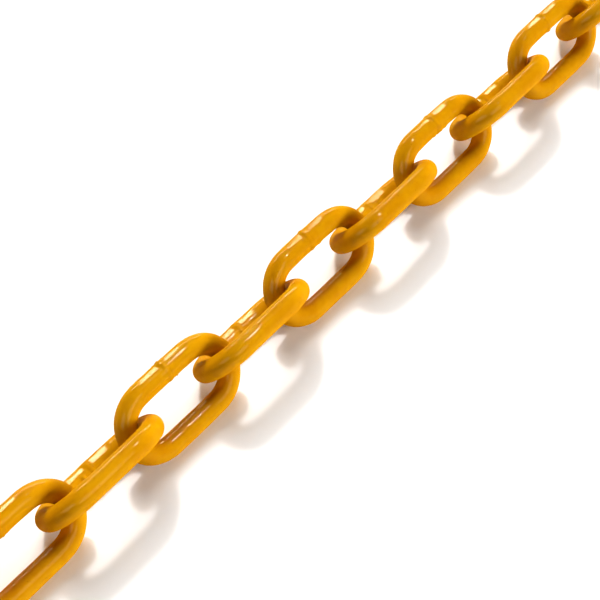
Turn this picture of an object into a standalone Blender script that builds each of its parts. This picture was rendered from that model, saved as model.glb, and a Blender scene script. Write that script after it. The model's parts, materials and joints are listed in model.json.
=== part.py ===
"""A half-metre length of yellow painted, butt-welded steel chain.

The chain lies straight along X on a level floor at Z = 0, drawn almost taut.
Its links are all alike: a round bar bent into a stadium-shaped ring, its ends
butt welded in the middle of one straight leg. Laid on a floor, the links lean
to alternate sides: odd links carry their welded leg high, even links low.
The middle link stands on the origin. Every other link swings about a vertical
axis through the place where it hooks into the link nearer the middle.
"""

from math import atan2, cos, pi, radians, sin, sqrt

import bmesh
import bpy
from mathutils import Matrix, Vector

# Driving dimensions, in metres, over the paint
BAR_DIAMETER = 0.0051
INSIDE_LENGTH = 0.0246
INSIDE_WIDTH = 0.0095
END_SLACK = 0.0006
LEAN = radians(53)
LINK_COUNT = 21

# Weld bead, a low collar round the middle of one leg. It is flush where the
# leg of an even link rests on the floor, and stands out furthest opposite.
BEAD_LENGTH = 0.0030
BEAD_CREST_LENGTH = 0.0020
BEAD_SIDE_HEIGHT = 0.00015

# Facets of the round bar and of each half-round crown
BAR_SIDES = 12
CROWN_STEPS = 10

# Derived sizes of one link, measured to the middle of the bar
BAR_RADIUS = BAR_DIAMETER / 2
CROWN_RADIUS = (INSIDE_WIDTH + BAR_DIAMETER) / 2
HALF_LEG = (INSIDE_LENGTH - INSIDE_WIDTH) / 2
LINK_SPACING = INSIDE_LENGTH - END_SLACK

# A polygon with the area of the round bar: corner radius and flat radius
SIDE_ANGLE = 2 * pi / BAR_SIDES
CORNER_RADIUS = BAR_RADIUS * sqrt(2 * pi / (BAR_SIDES * sin(SIDE_ANGLE)))
FLAT_RADIUS = CORNER_RADIUS * cos(SIDE_ANGLE / 2)
BEAD_SCALE = 1 + BEAD_SIDE_HEIGHT / BAR_RADIUS

# Direction of the floor from the welded leg of an even link, in the link's axes
FLOOR_ANGLE = atan2(-cos(LEAN), sin(LEAN))

# Height of a link's own middle when its lower leg rests on the floor
LINK_HEIGHT = FLAT_RADIUS + CROWN_RADIUS * sin(LEAN)

MIDDLE_LINK = (LINK_COUNT + 1) // 2
PAINT_COLOUR = (0.66, 0.285, 0.005, 1.0)


def clear_scene():
    """Remove every object of the start-up scene."""
    for item in list(bpy.data.objects):
        bpy.data.objects.remove(item, do_unlink=True)


def make_paint():
    """Glossy yellow enamel over the steel."""
    paint = bpy.data.materials.new("yellow_paint")
    paint.use_nodes = True
    shader = paint.node_tree.nodes["Principled BSDF"]
    shader.inputs["Base Color"].default_value = PAINT_COLOUR
    shader.inputs["Roughness"].default_value = 0.3
    shader.inputs["Metallic"].default_value = 0.0
    return paint


def start_ring(mesh):
    """The bar's outline at the start of the welded leg.

    One flat of the outline faces the floor on the lower leg of a link that
    leans to either side, so that every link stands on a flat.
    """
    corner = FLOOR_ANGLE + SIDE_ANGLE / 2
    across = Vector((0, cos(corner), sin(corner)))
    along = Vector((1, 0, 0))
    upright = along.cross(across)
    place = Matrix.Translation((-HALF_LEG, CROWN_RADIUS, 0))
    turn = Matrix((across, upright, along)).transposed().to_4x4()
    bmesh.ops.create_circle(
        mesh, segments=BAR_SIDES, radius=CORNER_RADIUS, matrix=place @ turn
    )
    return list(mesh.edges)


def corners_of(edges):
    """The vertices of a ring of edges."""
    return list({corner for edge in edges for corner in edge.verts})


def draw_leg(mesh, ring, distance):
    """Extrude the outline straight along X and return the new outline."""
    grown = bmesh.ops.extrude_edge_only(mesh, edges=ring)["geom"]
    ring = [item for item in grown if isinstance(item, bmesh.types.BMEdge)
            and item.is_boundary]
    bmesh.ops.translate(mesh, verts=corners_of(ring), vec=(distance, 0, 0))
    return ring


def swell(mesh, ring, factor):
    """Scale an outline of the welded leg away from the flat on the floor."""
    flat_y = CROWN_RADIUS + FLAT_RADIUS * cos(FLOOR_ANGLE)
    flat_z = FLAT_RADIUS * sin(FLOOR_ANGLE)
    bmesh.ops.scale(
        mesh, verts=corners_of(ring), vec=(1, factor, factor),
        space=Matrix.Translation((0, -flat_y, -flat_z)),
    )


def bend_crown(mesh, ring, centre_x):
    """Spin the outline half round the end of the link."""
    verts = corners_of(ring)
    bent = bmesh.ops.spin(
        mesh, geom=verts + ring, cent=(centre_x, 0, 0), axis=(0, 0, 1),
        angle=-pi, steps=CROWN_STEPS, use_merge=False,
    )
    return [item for item in bent["geom_last"]
            if isinstance(item, bmesh.types.BMEdge)]


def make_link_mesh(paint):
    """One closed ring of bar, centred on its own middle, flat in local XY."""
    mesh = bmesh.new()
    ring = start_ring(mesh)
    slope = (BEAD_LENGTH - BEAD_CREST_LENGTH) / 2
    plain = HALF_LEG - BEAD_LENGTH / 2
    ring = draw_leg(mesh, ring, plain)
    ring = draw_leg(mesh, ring, slope)
    swell(mesh, ring, BEAD_SCALE)
    ring = draw_leg(mesh, ring, BEAD_CREST_LENGTH)
    ring = draw_leg(mesh, ring, slope)
    swell(mesh, ring, 1 / BEAD_SCALE)
    ring = draw_leg(mesh, ring, plain)
    ring = bend_crown(mesh, ring, HALF_LEG)
    ring = draw_leg(mesh, ring, -2 * HALF_LEG)
    bend_crown(mesh, ring, -HALF_LEG)
    bmesh.ops.remove_doubles(mesh, verts=mesh.verts, dist=BAR_RADIUS / 1000)
    bmesh.ops.recalc_face_normals(mesh, faces=mesh.faces)
    data = bpy.data.meshes.new("link")
    mesh.to_mesh(data)
    mesh.free()
    data.shade_smooth()
    data.materials.append(paint)
    return data


def add_empty(name, location, parent):
    """An empty that carries a link, placed in its parent's axes."""
    empty = bpy.data.objects.new(name, None)
    empty.empty_display_size = BAR_DIAMETER
    empty.location = location
    empty.parent = parent
    bpy.context.collection.objects.link(empty)
    return empty


def add_link(number, data, carrier, offset_x):
    """Place one link on its carrier, leaning as its number tells."""
    welded_leg_up = number % 2 == MIDDLE_LINK % 2
    link = bpy.data.objects.new(f"link_{number:02d}", data)
    link.location = (offset_x, 0, LINK_HEIGHT)
    link.rotation_euler = (LEAN if welded_leg_up else -LEAN, 0, 0)
    link.parent = carrier
    bpy.context.collection.objects.link(link)


def add_run(data, middle, direction):
    """Hook the links of one half of the chain on, from the middle outwards."""
    carrier = middle
    reach = LINK_SPACING / 2
    for step in range(1, MIDDLE_LINK):
        number = MIDDLE_LINK + direction * step
        carrier = add_empty(f"swing_{number:02d}", (direction * reach, 0, 0), carrier)
        add_link(number, data, carrier, direction * LINK_SPACING / 2)
        reach = LINK_SPACING


def build_chain():
    """The whole length of chain, its middle link over the origin."""
    data = make_link_mesh(make_paint())
    middle = add_empty("chain_line", (0, 0, 0), None)
    add_link(MIDDLE_LINK, data, middle, 0)
    add_run(data, middle, 1)
    add_run(data, middle, -1)


clear_scene()
build_chain()
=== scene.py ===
"""Looks of a half-metre length of yellow painted, butt-welded steel chain.

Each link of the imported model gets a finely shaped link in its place: a round
bar with the marks that bending and welding leave on it, under a thick coat of
glossy enamel. The chain lies on a plain white floor in soft studio light, and
the camera looks down on it from where the photograph was taken.

Sizes are in metres where a docstring doesn't say millimetres. A link's own axes
are +X along the chain, +Y towards its welded leg and +Z square to the ring.
"""

from __future__ import annotations

import json
import logging
from dataclasses import dataclass
from enum import Enum
from math import copysign, cos, exp, pi, radians, sin, tan, tanh
from random import Random
from typing import Any

import bmesh
import bpy
from mathutils import Euler, Matrix, Vector, noise

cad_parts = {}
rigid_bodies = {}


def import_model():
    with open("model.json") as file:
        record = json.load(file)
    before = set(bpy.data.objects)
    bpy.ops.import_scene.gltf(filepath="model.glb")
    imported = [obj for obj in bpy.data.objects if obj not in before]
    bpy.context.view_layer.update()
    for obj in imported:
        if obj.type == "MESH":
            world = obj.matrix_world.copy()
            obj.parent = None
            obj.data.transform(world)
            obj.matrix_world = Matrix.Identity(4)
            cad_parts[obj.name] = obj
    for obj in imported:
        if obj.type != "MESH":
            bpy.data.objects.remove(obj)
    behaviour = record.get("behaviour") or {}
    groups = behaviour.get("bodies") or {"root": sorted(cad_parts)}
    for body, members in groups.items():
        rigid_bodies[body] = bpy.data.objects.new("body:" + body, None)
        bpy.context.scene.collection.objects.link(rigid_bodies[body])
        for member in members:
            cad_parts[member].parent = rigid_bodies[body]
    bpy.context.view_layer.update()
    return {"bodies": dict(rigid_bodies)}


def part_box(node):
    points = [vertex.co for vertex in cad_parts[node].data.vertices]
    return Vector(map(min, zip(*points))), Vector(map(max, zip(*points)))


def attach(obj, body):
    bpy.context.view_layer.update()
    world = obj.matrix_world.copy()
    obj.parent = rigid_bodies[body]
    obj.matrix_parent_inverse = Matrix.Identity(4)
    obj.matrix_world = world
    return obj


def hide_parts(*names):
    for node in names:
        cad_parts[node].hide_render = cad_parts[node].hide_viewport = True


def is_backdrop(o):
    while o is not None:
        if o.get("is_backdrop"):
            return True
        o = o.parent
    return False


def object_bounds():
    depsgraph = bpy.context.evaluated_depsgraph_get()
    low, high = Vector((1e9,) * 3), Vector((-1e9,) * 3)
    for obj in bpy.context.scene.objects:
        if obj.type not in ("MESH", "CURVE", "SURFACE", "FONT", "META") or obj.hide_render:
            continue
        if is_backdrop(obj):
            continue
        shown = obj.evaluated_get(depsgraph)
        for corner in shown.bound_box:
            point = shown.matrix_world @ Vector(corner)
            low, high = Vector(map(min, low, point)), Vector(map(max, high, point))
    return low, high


MM = 0.001
log = logging.getLogger("chain")

Span = tuple[float, float]
Colour = tuple[float, float, float, float]


def bell(away: float) -> float:
    """1 at no distance, falling smoothly to about a third at distance 1."""
    return exp(-(away**2))


def plateau(away: float) -> float:
    """Like a bell, with a flat top and steeper sides."""
    return exp(-(away**4))


def corners_of(edges: list[bmesh.types.BMEdge]) -> list[bmesh.types.BMVert]:
    """The vertices of a ring of edges, each once."""
    return list(dict.fromkeys(corner for edge in edges for corner in edge.verts))


class Lean(Enum):
    """Which way a link of a laid chain leans: the sign of its turn about X."""

    WELD_HIGH = 1
    WELD_LOW = -1

    @staticmethod
    def of(number: int) -> Lean:
        """Odd links carry their welded leg high, even links low."""
        return Lean.WELD_HIGH if number % 2 else Lean.WELD_LOW


@dataclass(frozen=True)
class LinkSize:
    """The driving sizes of one link, over the paint.

    Attributes:
        bar: diameter of the round bar.
        inside_length: clear length between the two crowns.
        inside_width: clear width between the two legs.
        lean: how far the ring leans over from lying flat, in radians.
    """

    bar: float = 5.1 * MM
    inside_length: float = 24.6 * MM
    inside_width: float = 9.5 * MM
    lean: float = radians(53)

    @property
    def bar_radius(self) -> float:
        """Radius of the bar."""
        return self.bar / 2

    @property
    def crown_radius(self) -> float:
        """Radius of the bar's centre line round a crown."""
        return (self.inside_width + self.bar) / 2

    @property
    def half_leg(self) -> float:
        """Half the straight length of a leg."""
        return (self.inside_length - self.inside_width) / 2

    def place(self, node: str, lean: Lean) -> Matrix:
        """Where a link stands, read from its solid.

        Args:
            node: the link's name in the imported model.
            lean: the side that it leans to.

        Returns:
            The matrix from the link's own axes to the chain's.
        """
        low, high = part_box(node)
        x = (low.x + high.x) / 2
        z = (low.z + high.z) / 2
        tilt = Euler((lean.value * self.lean, 0, 0)).to_matrix().to_4x4()
        return Matrix.Translation((x, 0, z)) @ tilt


@dataclass(frozen=True)
class Bump:
    """A small rounded lump of flash, or with a negative height a nick.

    Attributes:
        spot: its middle, in the link's own axes.
        reach: distance at which it has fallen to about a third.
        height: how far it stands out.

    It counts for nothing past FADED_OUT times its reach.
    """

    spot: Vector
    reach: float
    height: float

    FADED_OUT = 3

    def lift(self, point: Vector) -> float:
        """How far the lump lifts the surface at a point."""
        away = (point - self.spot).length / self.reach
        return self.height * bell(away) if away < self.FADED_OUT else 0.0


@dataclass(frozen=True)
class DieFlat:
    """A face that a clamping die has pressed on the welded leg.

    Attributes:
        side: which end of the leg it is on, -1 or +1.
        turn: direction that it faces, turned from the outside of the ring
            towards the link's +Z, in radians.
        depth: how far the middle of the face lies below the round bar.
        pitch: rise of the face for each metre along the leg.

    The face bulges by up to SOFTNESS. It fades out within SEAM_REACH of the
    seam, and from RUN_OUT_START on it runs out towards the crown.
    """

    side: int
    turn: float
    depth: float
    pitch: float

    SOFTNESS = 0.015 * MM
    SEAM_REACH = 0.8 * MM
    RUN_OUT_START = 5.6 * MM
    RUN_OUT_LENGTH = 10 * MM

    def press(self, point: Vector, away: float, size: LinkSize) -> Vector:
        """Press this face into the leg.

        Args:
            point: a point of the surface.
            away: its distance from the seam, along the leg.
            size: the link's sizes.

        Returns:
            The point, moved down to the face where it stood above it.
        """
        if away * self.side < 0:
            return point
        facing = Vector((0, cos(self.turn), sin(self.turn)))
        centre = Vector((point.x, size.crown_radius, 0))
        beyond = max(0.0, abs(point.x) - self.RUN_OUT_START)
        at_seam = plateau(away / self.SEAM_REACH)
        top = size.bar_radius - self.depth + self.pitch * point.x
        top += beyond**2 / self.RUN_OUT_LENGTH + at_seam * 2 * self.depth
        over = (point - centre).dot(facing) - top
        if over <= 0:
            return point
        pressed = self.SOFTNESS * over / (over + self.SOFTNESS)
        return point - (over - pressed) * facing


@dataclass(frozen=True)
class WeldMarks:
    """What welding has left on one link's welded leg.

    Attributes:
        seam: distance of the seam from the middle of the leg.
        slant: how far the seam runs along the leg for each metre round it.
        ridge: height of the narrow ridge on the seam.
        collar: height of the upset bar on both sides of the seam.
        flats: the faces that the dies have pressed.
        bumps: lumps of flash and nicks, on both legs.
    """

    seam: float
    slant: float
    ridge: float
    collar: float
    flats: tuple[DieFlat, ...]
    bumps: tuple[Bump, ...]

    RIDGE_REACH = 0.36 * MM
    COLLAR_REACH = 1.5 * MM
    GROOVE_PLACE = 2.3 * RIDGE_REACH
    GROOVE_REACH = 0.30 * MM
    GROOVE_SHARE = 0.30
    TRIMMED = 0.15

    def along(self, point: Vector) -> float:
        """Distance of a point of the welded leg from the slanted seam."""
        return point.x - self.seam - self.slant * point.z

    def lift(self, point: Vector, outward: Vector, roughness: float) -> float:
        """How far the weld lifts the surface of the welded leg.

        The ridge stands on the inner and outer side of the ring. On the two
        faces of the ring it has been trimmed to a fraction.

        Args:
            point: a point of the surface.
            outward: the bar's own normal there.
            roughness: a noise value about 0, which makes the ridge uneven.

        Returns:
            The lift along the bar's own normal.
        """
        away = self.along(point)
        ridge = bell(away / self.RIDGE_REACH)
        beside = (abs(away) - self.GROOVE_PLACE) / self.GROOVE_REACH
        groove = self.GROOVE_SHARE * bell(beside)
        collar = plateau(away / self.COLLAR_REACH)
        stand = self.TRIMMED + (1 - self.TRIMMED) * outward.y**2
        return self.ridge * stand * (1 + roughness) * (ridge - groove) + self.collar * collar


@dataclass(frozen=True)
class BumpSpread:
    """How the bumps of one leg vary, with lengths in millimetres.

    Attributes:
        leg: +1 for the welded leg, -1 for the other.
        count: fewest and most bumps.
        along: how far along the leg they lie.
        facing: the side of the bar that they lie on, in radians from the outside
            of the ring towards the link's +Z.
        turn: how far round the bar they lie from that side, in radians.
        reach: lowest and highest reach.
        height: lowest and highest height.
    """

    leg: int
    count: tuple[int, int]
    along: Span
    facing: float
    turn: Span
    reach: Span
    height: Span

    def draw(self, dice: Random, size: LinkSize, start: float) -> list[Bump]:
        """Draw the bumps of one leg.

        Args:
            dice: the link's own source of chance.
            size: the link's sizes.
            start: where along the leg the bumps are centred.

        Returns:
            The bumps, in the order in which they were drawn.
        """
        bumps = []
        for _ in range(dice.randint(*self.count)):
            x = start + dice.uniform(*self.along) * MM
            turn = self.facing + dice.uniform(*self.turn)
            y = self.leg * (size.crown_radius + size.bar_radius * cos(turn))
            spot = Vector((x, y, size.bar_radius * sin(turn)))
            reach = dice.uniform(*self.reach) * MM
            bumps.append(Bump(spot, reach, dice.uniform(*self.height) * MM))
        return bumps


@dataclass(frozen=True)
class MarkSpread:
    """How the marks of the welding vary from link to link.

    Each span is the lowest and highest value, lengths in millimetres.

    Attributes:
        die_directions: the two ways that the die flats face, in radians.
        die_turn: how far a flat is turned off its direction, in radians.
        die_depth: depth of a flat.
        die_pitch: rise of a flat for each metre along the leg.
        seam: place of the seam along the leg.
        slant: slant of the seam.
        ridge: height of the ridge.
        collar: height of the collar.
        flash: the bumps inside the ring, at the seam.
        nicks: the bumps and nicks all round the other leg.
    """

    die_directions: tuple[float, float] = (radians(17.6), radians(123.5))
    die_turn: Span = (-0.012, 0.012)
    die_depth: Span = (0.14, 0.21)
    die_pitch: Span = (-0.010, 0.010)
    seam: Span = (-0.4, 0.6)
    slant: Span = (-0.16, 0.02)
    ridge: Span = (0.14, 0.20)
    collar: Span = (0.04, 0.08)
    flash: BumpSpread = BumpSpread(
        leg=1,
        count=(3, 5),
        along=(-3.2, 3.2),
        facing=pi,
        turn=(-0.9, 0.9),
        reach=(0.35, 0.65),
        height=(0.14, 0.30),
    )
    nicks: BumpSpread = BumpSpread(
        leg=-1,
        count=(2, 4),
        along=(-7, 7),
        facing=0.0,
        turn=(0, 2 * pi),
        reach=(0.3, 0.7),
        height=(-0.10, 0.12),
    )

    def draw_flat(self, dice: Random, side: int, direction: float) -> DieFlat:
        """Draw one die flat.

        Args:
            dice: the link's own source of chance.
            side: which end of the leg it is on, -1 or +1.
            direction: the way that it faces.

        Returns:
            A flat that differs a little from the others.
        """
        return DieFlat(
            side=side,
            turn=direction + dice.uniform(*self.die_turn),
            depth=dice.uniform(*self.die_depth) * MM,
            pitch=dice.uniform(*self.die_pitch),
        )

    def draw(self, size: LinkSize, number: int) -> WeldMarks:
        """Draw the marks of one link, the same in each run.

        Args:
            size: the link's sizes.
            number: the link's number along the chain.

        Returns:
            Marks that differ a little from those of the other links.
        """
        dice = Random(f"link {number}")
        flats = [
            self.draw_flat(dice, side, direction)
            for side in (-1, 1)
            for direction in self.die_directions
        ]
        seam = dice.uniform(*self.seam) * MM
        bumps = self.flash.draw(dice, size, seam) + self.nicks.draw(dice, size, 0)
        return WeldMarks(
            seam=seam,
            slant=dice.uniform(*self.slant),
            ridge=dice.uniform(*self.ridge) * MM,
            collar=dice.uniform(*self.collar) * MM,
            flats=tuple(flats),
            bumps=tuple(bumps),
        )


@dataclass
class BarSurface:
    """The uneven surface of one link's bar.

    Attributes:
        size: the link's sizes.
        marks: what welding has left on it.
        number: the link's number, which moves the noise.
    """

    size: LinkSize
    marks: WeldMarks
    number: int

    BOW = 0.10 * MM
    BOW_POWER = 4
    BOW_END = 1.2 * MM
    SHOULDER_HEIGHT = 0.05 * MM
    SHOULDER_REACH = 2.2 * MM
    SHOULDER_SHIFT = 0.6 * MM
    WAVE_LENGTH = 5.5 * MM
    WAVE_HEIGHT = 0.055 * MM
    RIPPLE_LENGTH = 1.3 * MM
    RIPPLE_HEIGHT = 0.012 * MM
    # Millimetres from one link's noise to the next one's
    LINK_SHIFT = 40
    SEAM_NOISE_LENGTH = 0.9 * MM
    SEAM_NOISE_SHARE = 0.9
    # Where and how widely the colour is made darker beside the seam.
    SEAM_DARK_PLACE = 1.6 * WeldMarks.RIDGE_REACH
    SEAM_DARK_REACH = 0.22 * MM

    def middle(self, point: Vector) -> Vector:
        """The nearest point of the bar's centre line.

        Args:
            point: a point of the surface, in the link's own axes.

        Returns:
            The point of the stadium-shaped centre line.
        """
        half = self.size.half_leg
        if abs(point.x) <= half:
            return Vector((point.x, copysign(self.size.crown_radius, point.y), 0))
        centre = Vector((copysign(half, point.x), 0, 0))
        outward = Vector((point.x - centre.x, point.y, 0)).normalized()
        return centre + outward * self.size.crown_radius

    def waviness(self, point: Vector) -> float:
        """Rolling and paint waves, from slow to fine."""
        where = point + Vector((0, 0, self.number * self.LINK_SHIFT * MM))
        slow = noise.noise(where / self.WAVE_LENGTH)
        fine = noise.noise(where / self.RIPPLE_LENGTH)
        return self.WAVE_HEIGHT * slow + self.RIPPLE_HEIGHT * fine

    def shoulder(self, point: Vector) -> float:
        """The bar is thickest where the legs run into the crowns."""
        away = abs(point.x) - self.size.half_leg - self.SHOULDER_SHIFT
        return self.SHOULDER_HEIGHT * bell(away / self.SHOULDER_REACH)

    def bow(self, point: Vector) -> Vector:
        """Draw the link in towards its ends, so that its legs bow a little there.

        Args:
            point: a point of the surface.

        Returns:
            The point, moved across the link.
        """
        half = self.size.half_leg
        beyond = max(0.0, abs(point.x) - half)
        along_leg = min(1.0, abs(point.x) / half)
        run_out = self.BOW_POWER * self.BOW_END / half * tanh(beyond / self.BOW_END)
        draw = self.BOW * (along_leg**self.BOW_POWER + run_out)
        return Vector((point.x, point.y * (1 - draw / self.size.crown_radius), point.z))

    def press(self, point: Vector) -> Vector:
        """Press the die flats into the welded leg.

        Args:
            point: a point of the surface.

        Returns:
            The point, moved down to the flats where it stood above them.
        """
        away = self.marks.along(point)
        for flat in self.marks.flats:
            point = flat.press(point, away, self.size)
        return point

    def shape(self, point: Vector) -> tuple[Vector, float]:
        """Move one point of the plain bar to the finished surface.

        Args:
            point: a point of the plain bar.

        Returns:
            The new point, and how much darker its colour is made beside the seam, 0 to 1.
        """
        outward = (point - self.middle(point)).normalized()
        lift = self.waviness(point) + self.shoulder(point)
        lift += sum(bump.lift(point) for bump in self.marks.bumps)
        on_welded_leg = point.y > 0 and abs(point.x) < self.size.half_leg
        seam = 0.0
        if on_welded_leg:
            rough = self.SEAM_NOISE_SHARE * noise.noise(point / self.SEAM_NOISE_LENGTH)
            lift += self.marks.lift(point, outward, rough)
            # A band beside the seam where the enamel's colour is made darker.
            away = abs(self.marks.along(point)) - self.SEAM_DARK_PLACE
            seam = bell(away / self.SEAM_DARK_REACH)
        moved = self.bow(point + outward * lift)
        if point.y > 0:
            moved = self.press(moved)
        return moved, seam


@dataclass
class Link:
    """One finely shaped link.

    Attributes:
        number: the link's number along the chain.
        size: its sizes.
        spread: how the marks of its welding vary.

    Nothing of it reaches below LOWEST, because it lies on the floor.
    """

    number: int
    size: LinkSize
    spread: MarkSpread = MarkSpread()

    BAR_SIDES = 64
    LEG_STEPS = 66
    CROWN_STEPS = 50
    MERGE_DISTANCE = 0.01 * MM
    LOWEST = -0.02 * MM

    @property
    def node(self) -> str:
        """The name of the solid and of the body that this link stands for."""
        return f"link_{self.number:02d}"

    def start_ring(self, mesh: bmesh.types.BMesh) -> list[bmesh.types.BMEdge]:
        """Draw the bar's round outline at the start of the welded leg."""
        place = Matrix.Translation((-self.size.half_leg, self.size.crown_radius, 0))
        turn = Matrix.Rotation(pi / 2, 4, "Y")
        bmesh.ops.create_circle(
            mesh, segments=self.BAR_SIDES, radius=self.size.bar_radius, matrix=place @ turn
        )
        return list(mesh.edges)

    def draw_leg(
        self, mesh: bmesh.types.BMesh, ring: list[bmesh.types.BMEdge], way: int
    ) -> list[bmesh.types.BMEdge]:
        """Extrude the outline along a leg in short steps.

        Args:
            mesh: the link so far.
            ring: the outline to start from.
            way: +1 along X, -1 back.

        Returns:
            The outline at the far end.
        """
        step = way * 2 * self.size.half_leg / self.LEG_STEPS
        for _ in range(self.LEG_STEPS):
            grown = bmesh.ops.extrude_edge_only(mesh, edges=ring)["geom"]
            edges = [item for item in grown if isinstance(item, bmesh.types.BMEdge)]
            ring = [edge for edge in edges if edge.is_boundary]
            bmesh.ops.translate(mesh, verts=corners_of(ring), vec=(step, 0, 0))
        return ring

    def bend_crown(
        self, mesh: bmesh.types.BMesh, ring: list[bmesh.types.BMEdge], side: int
    ) -> list[bmesh.types.BMEdge]:
        """Spin the outline half round one end of the link.

        Args:
            mesh: the link so far.
            ring: the outline to start from.
            side: +1 for the end at +X, -1 for the other.

        Returns:
            The outline at the start of the next leg.
        """
        bent = bmesh.ops.spin(
            mesh,
            geom=corners_of(ring) + ring,
            cent=(side * self.size.half_leg, 0, 0),
            axis=(0, 0, 1),
            angle=-pi,
            steps=self.CROWN_STEPS,
            use_merge=False,
        )
        return [item for item in bent["geom_last"] if isinstance(item, bmesh.types.BMEdge)]

    def build(self) -> bpy.types.Object:
        """Model the link and stand it in its place.

        Returns:
            The new object, at the origin with its place in its mesh.
        """
        mesh = bmesh.new()
        ring = self.draw_leg(mesh, self.start_ring(mesh), 1)
        ring = self.bend_crown(mesh, ring, 1)
        ring = self.draw_leg(mesh, ring, -1)
        self.bend_crown(mesh, ring, -1)
        bmesh.ops.remove_doubles(mesh, verts=mesh.verts, dist=self.MERGE_DISTANCE)
        bmesh.ops.recalc_face_normals(mesh, faces=mesh.faces)
        seam_layer = mesh.verts.layers.float.new("seam")
        marks = self.spread.draw(self.size, self.number)
        surface = BarSurface(self.size, marks, self.number)
        for corner in mesh.verts:
            corner.co, corner[seam_layer] = surface.shape(corner.co)
        place = self.size.place(self.node, Lean.of(self.number))
        bmesh.ops.transform(mesh, matrix=place, verts=mesh.verts)
        for corner in mesh.verts:
            corner.co.z = max(corner.co.z, self.LOWEST)
        data = bpy.data.meshes.new(f"painted_{self.node}")
        mesh.to_mesh(data)
        mesh.free()
        data.shade_smooth()
        link = bpy.data.objects.new(f"painted_{self.node}", data)
        bpy.context.scene.collection.objects.link(link)
        return link


class Socket:
    """A shader value that can be used in Python arithmetic."""

    def __init__(self, nodes: Nodes, output: bpy.types.NodeSocket) -> None:
        """Wrap one output of a node.

        Args:
            nodes: the node tree that the node is in.
            output: the output to wrap.
        """
        self.nodes = nodes
        self.output = output

    def math(self, operation: str, first: Any, second: Any) -> Socket:
        """Add one Math node and return its result."""
        values = {0: first, 1: second}
        return self.nodes.node("ShaderNodeMath", {"operation": operation}, values)

    def __add__(self, other: Socket | float) -> Socket:
        """Sum."""
        return self.math("ADD", self, other)

    def __radd__(self, other: float) -> Socket:
        """Sum with a number on the left."""
        return self.math("ADD", other, self)

    def __rsub__(self, other: float) -> Socket:
        """Difference with a number on the left, as in 1 - mask."""
        return self.math("SUBTRACT", other, self)

    def __mul__(self, other: Socket | float) -> Socket:
        """Product."""
        return self.math("MULTIPLY", self, other)

    def __rmul__(self, other: float) -> Socket:
        """Product with a number on the left."""
        return self.math("MULTIPLY", other, self)

    def rise(self, start: float, end: float) -> Socket:
        """A smooth step from 0 at start to 1 at end."""
        return self.nodes.node(
            "ShaderNodeMapRange",
            {"interpolation_type": "SMOOTHSTEP"},
            {"Value": self, "From Min": start, "From Max": end},
        )


class Nodes:
    """A node tree and the one method that adds nodes to it."""

    def __init__(self, tree: bpy.types.NodeTree) -> None:
        """Wrap the node tree of a material or a world.

        Args:
            tree: the tree to add nodes to.
        """
        self.tree = tree

    def node(
        self, kind: str, settings: dict[str, Any], values: dict[Any, Any], result: Any = 0
    ) -> Socket:
        """Add one node.

        Args:
            kind: the node's type.
            settings: attributes to set first.
            values: numbers or links for its inputs, by name or place.
            result: the output to return, by name or place.

        Returns:
            The chosen output.
        """
        made = self.tree.nodes.new(kind)
        for key, value in settings.items():
            setattr(made, key, value)
        for key, value in values.items():
            self.feed(made.inputs[key], value)
        return Socket(self, made.outputs[result])

    def feed(self, entry: bpy.types.NodeSocket, value: Any) -> None:
        """Link a value to an input, or set it there if it is a number.

        Args:
            entry: the input.
            value: a Socket, a number or a colour.
        """
        if isinstance(value, Socket):
            self.tree.links.new(value.output, entry)
        else:
            entry.default_value = value


class Shader(Nodes):
    """A material with one Principled surface."""

    def __init__(self, name: str) -> None:
        """Start a material with an empty Principled surface.

        Args:
            name: the material's name.
        """
        self.material = bpy.data.materials.new(name)
        self.material.use_nodes = True
        super().__init__(self.material.node_tree)
        self.surface = self.tree.nodes["Principled BSDF"]

    def dress(self, values: dict[str, Any]) -> None:
        """Set or link inputs of the Principled surface."""
        for key, value in values.items():
            self.feed(self.surface.inputs[key], value)

    def place(self) -> Socket:
        """Object coordinates."""
        return self.node("ShaderNodeTexCoord", {}, {}, "Object")

    def noise(self, place: Socket, length: float, detail: float = 2.0) -> Socket:
        """Noise about 0.5 with features of a given length.

        Args:
            place: the coordinates.
            length: distance between features.
            detail: how many finer layers it has.

        Returns:
            The noise value.
        """
        values = {"Vector": place, "Scale": 1 / length, "Detail": detail}
        return self.node("ShaderNodeTexNoise", {}, values)

    def mix(self, share: Socket | float, first: Any, second: Any) -> Socket:
        """Mix two colours.

        Args:
            share: 0 gives the first, 1 the second.
            first: a colour or Socket.
            second: a colour or Socket.

        Returns:
            The mixed colour.
        """
        entries = {0: share, 6: first, 7: second}
        return self.node("ShaderNodeMix", {"data_type": "RGBA"}, entries, 2)

    def bump(self, height: Socket, depth: float, below: Socket | None = None) -> Socket:
        """Turn a height into a normal.

        Args:
            height: the height, from 0 to 1.
            depth: how far height 1 lies above height 0.
            below: the normal of the layer under this one.

        Returns:
            The normal.
        """
        values: dict[str, Any] = {"Strength": 1.0, "Distance": depth, "Height": height}
        if below is not None:
            values["Normal"] = below
        return self.node("ShaderNodeBump", {}, values)


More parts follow.
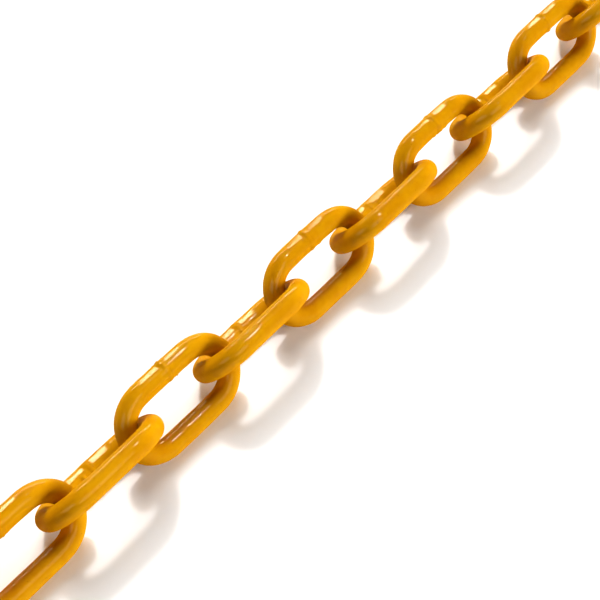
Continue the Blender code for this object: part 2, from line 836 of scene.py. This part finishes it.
@dataclass(frozen=True)
class Enamel:
    """Thick glossy chrome yellow enamel, dipped on.

    Attributes:
        light: colour where the coat is thick.
        deep: colour where it is thin or has gathered.
        grime: colour of the specks of grime, which also darkens the grooves beside the seam.
        cloud_length: distance between the large clouds of colour.
        cloud_share: how much they count in the tone, against the mottle.
        mottle_length: distance between the small clouds.
        mottle_share: how much they count in the tone.
        tone_span: noise values between which the tone goes from deep to light.
        speck_length: distance between the specks.
        speck_span: noise values between which a speck begins.
        speck_grime: how dirty a speck is.
        speck_depth: how deep it is.
        seam_darkening: how far the grooves beside the seam are turned towards the grime colour.
        peel_length: distance between the waves of the orange peel.
        peel_depth: how deep they are.
        roughness: roughness of the colour under the gloss.
        coat_weight: how much of the gloss shows.
        coat_ior: how strongly the gloss reflects.
        coat_roughness: how much it blurs what it reflects.
    """

    light: Colour = (0.57, 0.270, 0.003, 1)
    deep: Colour = (0.53, 0.230, 0.002, 1)
    grime: Colour = (0.33, 0.10, 0.002, 1)
    cloud_length: float = 7 * MM
    cloud_share: float = 0.65
    mottle_length: float = 1.6 * MM
    mottle_share: float = 0.35
    tone_span: Span = (0.36, 0.64)
    speck_length: float = 0.55 * MM
    speck_span: Span = (0.70, 0.78)
    speck_grime: float = 0.30
    speck_depth: float = 0.03 * MM
    seam_darkening: float = 0.15
    peel_length: float = 0.8 * MM
    peel_depth: float = 0.010 * MM
    roughness: float = 0.35
    coat_weight: float = 0.055
    coat_ior: float = 2.0
    coat_roughness: float = 0.08

    CLOUD_DETAIL = 3.0
    SPECK_DETAIL = 1.0

    def make(self) -> bpy.types.Material:
        """Build the enamel.

        Returns:
            The material, which reads Object coordinates and the seam attribute.
        """
        shader = Shader("yellow_enamel")
        place = shader.place()
        clouds = shader.noise(place, self.cloud_length, self.CLOUD_DETAIL)
        mottle = shader.noise(place, self.mottle_length)
        specks = shader.noise(place, self.speck_length, self.SPECK_DETAIL).rise(*self.speck_span)
        seam = shader.node("ShaderNodeAttribute", {"attribute_name": "seam"}, {}, "Fac")
        tone = (self.cloud_share * clouds + self.mottle_share * mottle).rise(*self.tone_span)
        colour = shader.mix(tone, self.deep, self.light)
        # Specks take the grime colour, and the grooves beside the seam are made darker with it.
        speck_dirt_and_seam_dark = specks * self.speck_grime + seam * self.seam_darkening
        colour = shader.mix(speck_dirt_and_seam_dark, colour, self.grime)
        peel = shader.noise(place, self.peel_length)
        normal = shader.bump(peel, self.peel_depth)
        normal = shader.bump(1 - specks, self.speck_depth, normal)
        shader.dress(
            {
                "Base Color": colour,
                "Roughness": self.roughness,
                "Specular IOR Level": 0.0,
                "Coat Weight": self.coat_weight,
                "Coat IOR": self.coat_ior,
                "Coat Roughness": self.coat_roughness,
                "Normal": normal,
            }
        )
        return shader.material


class Role(Enum):
    """What a studio lamp is for: to light the scene, or to shine in the paint."""

    LIGHT = "light"
    SHINE = "shine"


@dataclass(frozen=True)
class SoftLight:
    """A studio lamp, aimed at the origin.

    Attributes:
        name: what it is called.
        azimuth: where it stands, measured as the camera's is, in degrees.
        elevation: its height above the horizon, in degrees.
        width: the angle that it fills from side to side, in degrees.
        height: the angle that it fills from top to bottom, in degrees.
        share: how much of white it adds to a white floor, or for a lamp that only
            shines, would add if it lit the floor.
        role: whether it only lights, or only shows as a reflection.
        tilt: how far its left end is raised, seen from the chain, in degrees.
        colour: its tint.

    All lamps stand at one distance, far enough for even light along the chain.
    """

    name: str
    azimuth: float
    elevation: float
    width: float
    height: float
    share: float
    role: Role = Role.LIGHT
    tilt: float = 0.0
    colour: tuple[float, float, float] = (1.0, 1.0, 1.0)

    DISTANCE = 5.0

    def across(self, angle: float) -> float:
        """The length that fills an angle, in degrees, at the lamp's distance."""
        return 2 * self.DISTANCE * tan(radians(angle) / 2)

    def add(self) -> None:
        """Place the lamp, with the power that gives its share."""
        lamp = bpy.data.lights.new(self.name, "AREA")
        lamp.shape = "RECTANGLE"
        lamp.size = self.across(self.width)
        lamp.size_y = self.across(self.height)
        lamp.color = self.colour
        lamp.energy = self.share * pi**2 * self.DISTANCE**2 / sin(radians(self.elevation))
        holder = bpy.data.objects.new(self.name, lamp)
        back = looking_back(self.azimuth, self.elevation)
        facing = (-back).to_track_quat("-Z", "Y")
        tilted = facing @ Euler((0, 0, radians(self.tilt))).to_quaternion()
        holder.location = back * self.DISTANCE
        holder.rotation_euler = tilted.to_euler()
        holder.visible_camera = False
        holder.visible_glossy = self.role is Role.SHINE
        holder.visible_diffuse = self.role is Role.LIGHT
        bpy.context.scene.collection.objects.link(holder)


def looking_back(azimuth: float, elevation: float) -> Vector:
    """The direction from the object towards a viewer.

    Args:
        azimuth: 0 for a viewer on the -Y side, growing towards +X, in degrees.
        elevation: height above the horizon, in degrees.

    Returns:
        A unit vector.
    """
    turn, rise = radians(azimuth), radians(elevation)
    return Vector((sin(turn) * cos(rise), -cos(turn) * cos(rise), sin(rise)))


@dataclass(frozen=True)
class Studio:
    """The white floor, the lamps and the camera.

    Attributes:
        azimuth: the camera's azimuth, in degrees.
        elevation: its elevation, in degrees.
        distance: its distance from the point that it aims at.
        aim: that point.
        focal_pixels: focal length in pixels of the photograph.
        frame_pixels: width of the photograph in pixels.
        floor_size: length of the floor's side.

    The horizon glows at full strength below the second height of HORIZON_EDGE,
    and not at all above the first. Both are the Z of a direction.
    """

    azimuth: float = -49.37
    elevation: float = 54.31
    distance: float = 316.4 * MM
    aim: tuple[float, float, float] = (-10.36 * MM, -2.75 * MM, 8.16 * MM)
    focal_pixels: float = 1369.8
    frame_pixels: float = 600.0
    floor_size: float = 6.4

    SENSOR = 36.0
    CLIP_START = 10 * MM
    FLOOR_COLOUR = (0.95, 0.95, 0.95, 1)
    FLOOR_ROUGHNESS = 0.45
    LOOK = "Medium High Contrast"
    EXPOSURE = -0.03
    SKY_COLOUR = (1.0, 0.98, 0.95, 1.0)
    CEILING_STRENGTH = 0.03
    HORIZON_STRENGTH = 0.80
    HORIZON_EDGE = (sin(radians(13)), sin(radians(8.5)))
    CREAM = (1.0, 0.88, 0.62)
    WARM = (1.0, 0.92, 0.75)
    LAMPS = (
        SoftLight("key_core", 148, 46, 5.2, 4.8, 0.36),
        SoftLight("key_wide", 138, 50, 38, 30, 0.58),
        SoftLight("softbox_right", 42, 11, 44, 12, 0.24),
        SoftLight("softbox_left", -80, 12, 40, 14, 0.04),
        SoftLight("backdrop_strip", 148, 22, 50, 4, 0.72, Role.SHINE, 12, CREAM),
        SoftLight("small_lamp", 95, 68.3, 2.9, 2.9, 0.35, Role.SHINE),
        SoftLight("window_front", 0, 48, 34, 30, 0.50, Role.SHINE, 0, WARM),
        SoftLight("window_left", -82, 46, 34, 30, 0.50, Role.SHINE, 0, WARM),
    )

    def add_floor(self, height: float) -> None:
        """Lay the floor.

        Args:
            height: level of the lowest point of the chain.
        """
        mesh = bmesh.new()
        place = Matrix.Translation((0, 0, height))
        bmesh.ops.create_grid(
            mesh, x_segments=1, y_segments=1, size=self.floor_size / 2, matrix=place
        )
        data = bpy.data.meshes.new("floor")
        mesh.to_mesh(data)
        mesh.free()
        shader = Shader("white_floor")
        shader.dress({"Base Color": self.FLOOR_COLOUR, "Roughness": self.FLOOR_ROUGHNESS})
        data.materials.append(shader.material)
        floor = bpy.data.objects.new("floor", data)
        bpy.context.scene.collection.objects.link(floor)
        floor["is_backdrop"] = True

    def add_sky(self) -> None:
        """A pale horizon all round under a dim ceiling."""
        world = bpy.data.worlds.new("room")
        world.use_nodes = True
        nodes = Nodes(world.node_tree)
        place = nodes.node("ShaderNodeTexCoord", {}, {}, "Generated")
        height = nodes.node("ShaderNodeSeparateXYZ", {}, {"Vector": place}, "Z")
        horizon = height.rise(*self.HORIZON_EDGE)
        strength = self.CEILING_STRENGTH + self.HORIZON_STRENGTH * horizon
        sky = world.node_tree.nodes["Background"]
        sky.inputs["Color"].default_value = self.SKY_COLOUR
        nodes.feed(sky.inputs["Strength"], strength)
        bpy.context.scene.world = world

    def add_camera(self) -> None:
        """Stand the camera where the photograph was taken from."""
        lens = bpy.data.cameras.new("camera")
        lens.sensor_width = self.SENSOR
        lens.lens = self.SENSOR * self.focal_pixels / self.frame_pixels
        lens.clip_start = self.CLIP_START
        camera = bpy.data.objects.new("camera", lens)
        back = looking_back(self.azimuth, self.elevation)
        camera.location = Vector(self.aim) + back * self.distance
        camera.rotation_euler = (-back).to_track_quat("-Z", "Y").to_euler()
        bpy.context.scene.collection.objects.link(camera)
        bpy.context.scene.camera = camera

    def set_up(self, floor_height: float) -> None:
        """Build the whole studio.

        Args:
            floor_height: level of the lowest point of the chain.
        """
        self.add_floor(floor_height)
        self.add_sky()
        for lamp in self.LAMPS:
            lamp.add()
        self.add_camera()
        view = bpy.context.scene.view_settings
        view.view_transform = "Standard"
        view.look = self.LOOK
        view.exposure = self.EXPOSURE


@dataclass
class Chain:
    """All links of the chain, painted alike.

    Attributes:
        size: the sizes of a link.
        paint: the finish.
    """

    size: LinkSize
    paint: Enamel

    def build(self, bodies: list[str]) -> None:
        """Model each link and hang it on its body.

        Args:
            bodies: the names of the bodies, one for each link.
        """
        enamel = self.paint.make()
        for body in sorted(bodies):
            link = Link(int(body.split("_")[1]), self.size)
            piece = link.build()
            piece.data.materials.append(enamel)
            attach(piece, body)
            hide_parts(link.node)
            log.info("%s on %s: %d faces", piece.name, body, len(piece.data.polygons))


def clear_start_scene() -> None:
    """Remove the objects that a new file holds."""
    for item in list(bpy.data.objects):
        bpy.data.objects.remove(item, do_unlink=True)


def main() -> None:
    """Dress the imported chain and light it."""
    logging.basicConfig(level=logging.INFO, format="%(name)s: %(message)s")
    clear_start_scene()
    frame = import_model()
    Chain(LinkSize(), Enamel()).build(list(frame["bodies"]))
    shown_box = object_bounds()
    Studio().set_up(shown_box[0].z)


if __name__ == "__main__":
    main()
